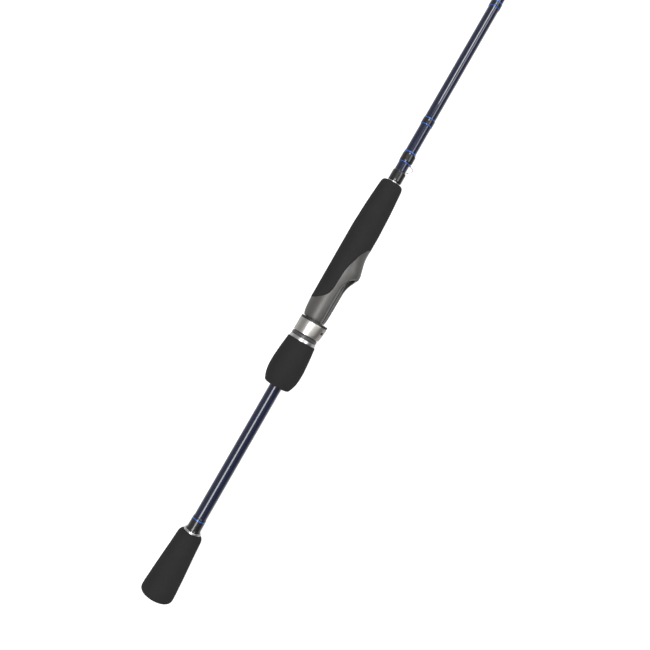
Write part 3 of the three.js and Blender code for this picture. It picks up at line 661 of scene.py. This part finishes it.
def make_fore_grip():
    back = curve_through([(303, 13.06), (335, 13.22), (379, 13.32), (390, 12.95), (400.5, 12.52),
                          (408, 12.07), (415, 11.55), (422, 11.02), (426.2, 10.65), (GRIP_FRONT - 1.3, 9.98)])

    def section(away):
        edge = edge_at(max(0.0, away - 0.012)) + 0.08
        xs = [edge + 0.35 + (392 - edge - 0.35) * (i / 30) ** 1.4 for i in range(31)]
        xs += [392 + (GRIP_FRONT - 1.3 - 392) * i / 24 for i in range(1, 25)]
        outer = [(edge, back(edge) - 0.5), (edge + 0.08, back(edge) - 0.18)] + [(x, back(x)) for x in xs]
        outer += [(GRIP_FRONT - 0.6, 9.5), (GRIP_FRONT - 0.15, 8.8), (GRIP_FRONT, 7.9)]
        return outer + [(GRIP_FRONT, 5.4), (382.3, 5.4), (382.3, 8.9), (edge, 8.9)]

    obj = piece("fore_foam", *loft(section, angles=finely()), "foam", stands_for=["fore_grip"], sharp=40)
    face_outwards(obj)
    c0, c1 = low("fore_check").x, high("fore_check").x
    turned("fore_check_ring", [(c0, 6.35, 0.25), (c1, 6.15, 0.4), (c1, 5.2), (c0, 5.2)], "polished_metal",
           stands_for=["fore_check"])


# ---------------------------------------------------------------- movable hood and lock nut


def flare(x, away):
    """How far the movable hood's reel side stands out."""
    along = min(1.0, max(0.0, (x - HOOD_START) / (HOOD_END - HOOD_START)))
    return HOOD_FLARE * math.sqrt(along) * bump(math.degrees(away) / 75)


def make_hood():
    s0 = low("hood_shell").x
    n = 14
    xs = [s0 + (HOOD_END - s0) * i / n for i in range(n + 1)]

    def shell(away):
        outside = [(s0, 11.9 + flare(s0, away)), (s0 + 0.12, 12.1 + flare(s0 + 0.12, away))]
        outside += [(x, HOOD_RADIUS + flare(x, away)) for x in [s0 + 0.35] + xs[1:-1]]
        mouth = flare(HOOD_END, away)
        outside += [(HOOD_END - 0.3, HOOD_RADIUS + mouth), (HOOD_END - 0.08, 12.12 + mouth)]
        outside += [(HOOD_END, 11.95 + mouth)]
        return outside + [(x, 11.5 + flare(x, away)) for x in reversed(xs)]

    obj = piece("hood_metal", *loft(shell), "satin_metal", body="hood", stands_for=["hood_shell"])
    face_outwards(obj)
    holes = []
    for side in (-1, 1):
        turn = side * math.radians(13)
        oval = Matrix.Rotation(-turn, 4, "X") @ Matrix.Diagonal((1.35, 1, 1.7, 1))
        oval = Matrix.Translation((HOOD_START + 8.2, 0, 0)) @ oval
        holes.append(cutter(moved(tube([(0, -17, 0), (0, -10, 0)], 1.0, 32), oval)))
    carve(obj, holes)

    def liner(away):
        f = flare(HOOD_END, away)
        lip = [(HOOD_END + 0.1, 11.8 + 0.93 * f), (HOOD_END + 0.3, 12.0 + 0.95 * f),
               (LIP_END - 0.7, 12.0 + 1.02 * f), (LIP_END - 0.25, 11.88 + 1.01 * f), (LIP_END, 11.5 + f)]
        body = [(HOOD_START, 11.1)] + [(x, 11.4 + flare(x, away)) for x in xs]
        return body + [(HOOD_END + 0.1, 11.4 + f)] + lip + [(LIP_END, 10.3), (HOOD_START, 10.3)]

    obj = piece("hood_lining", *loft(liner), "dark_resin", body="hood", stands_for=["hood_liner"])
    face_outwards(obj)
    p0 = HOOD_START + 4
    top = loft(lambda a: [(p0 - 1, 10.9)] + [(x, 11.05 + flare(x, a))
                                             for x in (p0, p0 + 4, HOOD_END, LIP_END + 1)]
               + [(LIP_END + 1, 5), (p0 - 1, 5)], 96)
    pocket = cutter(extruded([(p0, BED), (LIP_END + 1, BED), (LIP_END + 1, 13.2), (p0, 13.2)], 7))
    carve(pocket, [cutter(top)], "INTERSECT")
    carve(obj, [pocket])


def make_nut():
    r0, r1 = low("nut_ring").x, high("nut_ring").x
    end = high("lock_nut").x
    collar = [(r1 + 0.1, 11.9, 0.2), (r1 + 0.5, 12.3, 0.2), (r1 + 0.9, 12.3, 0.15),
              (r1 + 1.05, 12.05, 0.1), (r1 + 1.3, 12.05, 0.1), (r1 + 1.45, 12.32, 0.15),
              (end - 1.2, 12.32, 0.15), (end - 1.05, 12.08, 0.1), (end - 0.8, 12.08, 0.1),
              (end - 0.65, 12.3, 0.15), (end, 11.95, 0.3)]
    loop = [(low("lock_nut").x, 11.0), (r1 + 0.1, 11.0)] + collar + [(end, 10.2), (low("lock_nut").x, 10.2)]
    turned("nut_collar", loop, "collar", body="nut", stands_for=["lock_nut"], slot="graphite_resin")
    ring = [(r0, 12.85, 0.3), (r1, 12.42, 0.35), (r1, 11.1), (r0, 11.1)]
    turned("nut_polished_ring", ring, "polished_metal", body="nut", stands_for=["nut_ring"])

    s, e = NUT_START, high("nut_grip").x
    outside = [(s, 10.4, 0.8)]
    outside += sampled([(s + 0.9, 12.15), (223.4, 13.8), (227.2, 14.95), (231.3, 15.6), (235, 15.84),
                        (239, 15.87), (246, 15.5), (253, 14.9), (260, 14.1), (e - 0.4, 13.6)], 0.7)
    outside += [(e, 13.3, 0.2)]
    inside = [(e, 11.1), (234.7, 11.1), (234.7, 10.2), (224, 10.2), (224, 6.2), (s, 6.2)]
    turned("nut_foam", outside + inside, "foam", body="nut", stands_for=["nut_grip"])


# ---------------------------------------------------------------- wraps, bands and hook keeper


def wrap(name, node, thick, swelling, material="black_thread", domed=0.8):
    """Thread under epoxy: full in the middle, thinning in a smooth dome at both ends, swollen over a foot."""
    x0, x1 = low(node).x, high(node).x
    ends = min(domed, (x1 - x0) / 2.2)

    def domed_radius(x, t, swell):
        rise = (thick - 0.18 + swell) * math.sin(t * math.pi / 2) ** 0.8
        return blank_radius(x) + 0.18 + rise + (0 if t else 0.4 * swell)

    def section(away):
        swell = swelling * bump(math.degrees(away) / 80)
        loop = []
        for i in range(7):
            t = i / 6
            loop.append((x0 + ends * t, domed_radius(x0, t, swell)))
        for i in range(7):
            t = 1 - i / 6
            loop.append((x1 - ends * t, domed_radius(x1, t, swell)))
        return loop + [(x1, blank_radius(x1) + 0.06), (x0, blank_radius(x0) + 0.06)]

    obj = piece(name, *loft(section, 64), material, stands_for=[node])
    face_outwards(obj)
    return obj


def make_wraps():
    wrap("keeper_rear_thread", "keeper_rear_wrap", 0.72, 0.75, domed=1.2)
    wrap("keeper_front_thread", "keeper_front_wrap", 0.6, 0.75, domed=1.6)
    wrap("keeper_trim_rear_thread", "keeper_trim_rear", 0.5, 1.1, "blue_thread", 0.3)
    wrap("keeper_trim_front_thread", "keeper_trim_front", 0.42, 0, "blue_thread", 0.4)
    for end in ("rear", "front"):
        wrap(end + "_band_thread", end + "_band", 0.46, 0, domed=0.3)
        for side in ("rear", "front"):
            node = f"{end}_band_trim_{side}"
            wrap(node + "_thread", node, 0.4, 0, "blue_thread", 0.35)

    surface = blank_radius(KEEPER) + 0.55
    half = [(-9, -0.15), (-6, 0.05), (-4.4, 0.08), (-3.3, 0.3), (-2.85, 1.0), (-2.95, 1.9), (-2.55, 3.05)]
    half += [(-1.5, 4.2)]
    loop = half + [(0, 4.6)] + [(-dx, up) for dx, up in reversed(half)]
    spline = bpy.data.curves.new("keeper_path", "CURVE")
    spline.dimensions = "3D"
    s = spline.splines.new("BEZIER")
    s.bezier_points.add(len(loop) - 1)
    for point, (dx, up) in zip(s.bezier_points, loop):
        point.co = ((KEEPER + dx) * MM, -(surface + up) * MM, 0)
        point.handle_left_type = point.handle_right_type = "AUTO"
    spline.bevel_depth = 0.42 * MM
    spline.bevel_resolution = 6
    spline.use_fill_caps = True
    spline.resolution_u = 10
    spline.materials.append(MATERIAL["polished_metal"])
    obj = bpy.data.objects.new("keeper_wire", spline)
    bpy.context.scene.collection.objects.link(obj)
    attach(obj, "rod")
    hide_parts("hook_keeper")


# ---------------------------------------------------------------- guides


def ring_parts(node, size, centre, tilt):
    """The ceramic ring and the metal collar round it, as parts in the row's frame."""
    wall = 0.85 + 0.055 * size
    half = 0.9 + 0.016 * size
    outer, inner = size / 2 - 0.02, size / 2 - wall
    place = Matrix.Translation(centre) @ Matrix.Rotation(tilt, 4, "Z")
    corners = [(-half, outer, 0.1), (half, outer, 0.1), (half, inner, half * 0.9), (-half, inner, half * 0.9)]
    ring = rounded(corners, 6)
    shape = moved(loft(lambda a: ring, 64), place)
    piece(node + "_ceramic", *shape, "guide_ring", stands_for=[node + "_ring"])
    h, w = 0.7 + 0.012 * size, 0.5 + 0.012 * size
    corners = [(-h, size / 2 + w, 0.3), (h, size / 2 + w, 0.3), (h, size / 2 + 0.02), (-h, size / 2 + 0.02)]
    band = rounded(corners, 4)
    return moved(loft(lambda a: band, 64), place)


def bent(a, b, c, n=14):
    return [a * (1 - t) ** 2 + b * 2 * t * (1 - t) + c * t * t for t in [i / n for i in range(n + 1)]]


def blade(root, tip, thick, half_width):
    """A guide's foot: a tongue on the blank that thins and narrows from its root to its tip."""
    verts, faces = [], []
    n, m = 14, 10
    for i in range(n + 1):
        t = i / n
        x = root + (tip - root) * t
        h = (thick * (1 - t) + 0.2 * t) * (1 if i else 0.7)
        w = half_width * (1 - 0.45 * t * t) * (0.35 if i == n else 1)
        base = blank_radius(x) + 0.02
        for k in range(m + 1):
            a = math.pi * k / m
            verts.append((x, -(base - 0.25 + (h + 0.25) * math.sin(a)), w * math.cos(a)))
    row = m + 1
    for i in range(n):
        for k in range(m):
            faces.append((i * row + k, i * row + k + 1, (i + 1) * row + k + 1, (i + 1) * row + k))
        faces.append((i * row + m, i * row, (i + 1) * row, (i + 1) * row + m))
    faces.append(tuple(range(row)))
    faces.append(tuple(reversed(range(n * row, n * row + row))))
    return verts, faces


def make_guide(number):
    name = f"guide_{number}"
    tilt = math.radians(14)
    ring_low, ring_high = low(name + "_ring"), high(name + "_ring")
    centre = (ring_low + ring_high) / 2
    size = ring_high.z - ring_low.z
    frame_low, frame_high = low(name + "_frame"), high(name + "_frame")
    two = f"{name}_front_wrap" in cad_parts
    length = 8 + 0.32 * size
    station = frame_low.x + length
    width = 0.8 + 0.045 * size
    thick = 0.7 + 0.02 * size
    wire = 0.42 + 0.018 * size
    parts = [ring_parts(name, size, centre, tilt), blade(station, station - length, thick, width)]
    ends = [(station - 0.8, math.radians(62), -1)]
    if two:
        front = frame_high.x - length
        parts.append(blade(front, front + length, thick, width))
        ends.append((front + 0.8, math.radians(28), 1))
    reach = size / 2 + 0.35
    turn = Matrix.Rotation(tilt, 3, "Z")
    for x, around, _ in ends:
        for side in (-1, 1):
            foot_end = Vector((x, -(blank_radius(x) + 0.55 * thick), side * 0.4 * width))
            top = turn @ Vector((0, reach * math.cos(around), side * reach * math.sin(around))) + centre
            middle = top.lerp(foot_end, 0.55)
            middle.z += 0.35 * (top.z - foot_end.z)
            parts.append(tube(bent(top, middle, foot_end), wire, 12))
    frame_piece = piece(name + "_metal", *together(*parts), "guide_frame", stands_for=[name + "_frame"])
    face_outwards(frame_piece)
    swell = thick + 0.3
    if two:
        wrap(name + "_rear_thread", name + "_rear_wrap", 0.42, swell, domed=2.2)
        wrap(name + "_front_thread", name + "_front_wrap", 0.42, swell, domed=2.2)
    else:
        wrap(name + "_thread", name + "_wrap", 0.4, swell, domed=1.8)


def make_tip():
    ring_low, ring_high = low("tip_top_ring"), high("tip_top_ring")
    centre = (ring_low + ring_high) / 2
    tilt = math.radians(14)
    size = ring_high.z - ring_low.z
    start = low("tip_top_frame").x
    bore = blank_radius(start) + 0.1
    tube_end = TIP + 1.6
    sleeve = rounded([(start, bore + 0.45, 0.15), (tube_end - 0.5, bore + 0.4, 0.6), (tube_end, 0.4, 0.3),
                      (tube_end, 0.01), (TIP + 0.3, 0.01), (TIP + 0.3, bore), (start, bore)])
    parts = [ring_parts("tip_top", size, centre, tilt), loft(lambda a: sleeve, 48)]
    reach = size / 2 + 0.35
    turn = Matrix.Rotation(tilt, 3, "Z")
    nose = turn @ Vector((0, reach, 0)) + centre
    halfway = nose.lerp(Vector((TIP + 0.6, -0.4, 0)), 0.5)
    parts.append(tube(bent(nose, halfway, Vector((TIP + 0.4, -0.4, 0))), 0.6, 12))
    for side in (-1, 1):
        top = turn @ Vector((0, reach * math.cos(1.9), side * reach * math.sin(1.9))) + centre
        end = Vector((start + 2.5, -(bore + 0.15), side * 0.5))
        middle = top.lerp(end, 0.55)
        middle.z += 0.3 * (top.z - end.z)
        parts.append(tube(bent(top, middle, end), 0.42, 12))
    obj = piece("tip_top_metal", *together(*parts), "guide_frame", stands_for=["tip_top_frame"])
    face_outwards(obj)
    wrap("tip_thread", "tip_wrap", 0.42, 0, domed=1.2)


# ---------------------------------------------------------------- stage, lights and camera

TURN = math.radians(15)
TOWARDS = Vector((0, -math.sin(TURN), math.cos(TURN)))
REEL_SIDE = Vector((0, -math.cos(TURN), -math.sin(TURN)))
AIM = Vector((0.2883, 0, 0)) + 0.0108 * REEL_SIDE


def look(obj, where, right, up):
    back = right.cross(up)
    obj.matrix_world = Matrix.Translation(where) @ Matrix((right, up, back)).transposed().to_4x4()


def make_camera():
    data = bpy.data.cameras.new("camera")
    data.lens = 44.3
    data.sensor_width = 36
    data.clip_start = 0.01
    cam = bpy.data.objects.new("camera", data)
    bpy.context.scene.collection.objects.link(cam)
    lean = math.radians(60.05)
    along = Vector((1, 0, 0))
    right = along * math.cos(lean) + REEL_SIDE * math.sin(lean)
    up = along * math.sin(lean) - REEL_SIDE * math.cos(lean)
    look(cam, AIM + 0.72 * TOWARDS, right, up)
    bpy.context.scene.camera = cam


def area_light(name, place, far, size, power):
    """A soft box over the rod, at a station in metres and an angle in degrees from the camera's direction."""
    station, angle = place
    turn = math.radians(angle)
    aim = Vector((station, 0, 0))
    where = aim + far * (TOWARDS * math.cos(turn) + REEL_SIDE * math.sin(turn))
    data = bpy.data.lights.new(name, "AREA")
    data.shape = "RECTANGLE"
    data.size, data.size_y = size
    data.energy = power
    lamp = bpy.data.objects.new(name, data)
    bpy.context.scene.collection.objects.link(lamp)
    back = (where - aim).normalized()
    right = Vector((1, 0, 0))
    right = (right - back * right.dot(back)).normalized()
    look(lamp, where, right, back.cross(right))


def make_studio():
    """A white tent: bright below and behind, dimmer at the horizon on the reel side."""
    world = bpy.data.worlds.new("studio")
    world.use_nodes = True
    tree = world.node_tree
    place = tree.nodes.new("ShaderNodeTexCoord")
    axes = tree.nodes.new("ShaderNodeSeparateXYZ")
    tree.links.new(place.outputs["Generated"], axes.inputs["Vector"])
    tables = {
        "back": [(-1, 0.9), (-0.6, 0.92), (-0.16, 0.92), (0.2, 0.56), (0.5, 0.45), (1, 0.42)],
        "reel": [(-1, 0.8), (-0.72, 0.85), (-0.42, 0.64), (-0.2, 0.2), (0.05, 0.12), (0.35, 0.22), (1, 0.35)],
    }
    ramps = {}
    for side, table in tables.items():
        ramp = tree.nodes.new("ShaderNodeValToRGB")
        while len(ramp.color_ramp.elements) < len(table):
            ramp.color_ramp.elements.new(0.5)
        for element, (z, level) in zip(ramp.color_ramp.elements, table):
            element.position = (z + 1) / 2
            element.color = (level, level, level, 1)
        height = tree.nodes.new("ShaderNodeMapRange")
        height.inputs["From Min"].default_value = -1
        tree.links.new(axes.outputs["Z"], height.inputs["Value"])
        tree.links.new(height.outputs["Result"], ramp.inputs["Fac"])
        ramps[side] = ramp
    side = tree.nodes.new("ShaderNodeMapRange")
    side.inputs["From Min"].default_value = -0.25
    side.inputs["From Max"].default_value = 0.25
    tree.links.new(axes.outputs["Y"], side.inputs["Value"])
    mix = tree.nodes.new("ShaderNodeMix")
    tree.links.new(side.outputs["Result"], mix.inputs["Factor"])
    tree.links.new(ramps["reel"].outputs["Color"], mix.inputs["A"])
    tree.links.new(ramps["back"].outputs["Color"], mix.inputs["B"])
    tree.links.new(mix.outputs["Result"], tree.nodes["Background"].inputs["Color"])
    bpy.context.scene.world = world


def make_stage():
    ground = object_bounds()[0][2]
    mesh = bpy.data.meshes.new("floor")
    mesh.from_pydata([(-3, -4, 0), (5, -4, 0), (5, 4, 0), (-3, 4, 0)], [], [(0, 1, 2, 3)])
    floor = bpy.data.objects.new("floor", mesh)
    floor.location.z = ground
    bpy.context.scene.collection.objects.link(floor)
    n = Nodes("pale_floor")
    colour = n.ramp(n.noise(2, 2), (0.3, (0.36, 0.36, 0.36)), (0.7, (0.38, 0.38, 0.38)))
    n.set(Base_Color=colour, Roughness=0.9)
    n.set(Emission_Color=(1.0, 1.0, 1.0), Emission_Strength=0.8)
    mesh.materials.append(n.material)
    floor.visible_glossy = False
    make_studio()
    area_light("key_strip_rear", (-0.24, -7), 1.3, (1.72, 0.5), 27)
    area_light("key_strip_front", (1.66, -3), 1.3, (1.48, 0.4), 24)
    area_light("reel_side_strip", (1.3, 35), 1.3, (1.8, 0.48), 13)
    bpy.context.scene.view_settings.view_transform = "Standard"


make_blank()
make_butt()
make_seat()
make_fore_grip()
make_hood()
make_nut()
make_wraps()
for number in range(1, 8):
    make_guide(number)
make_tip()
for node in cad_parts:
    if node.endswith("_arbor"):
        bpy.data.objects[node].material_slots[0].material = MATERIAL["arbor"]
make_camera()
make_stage()
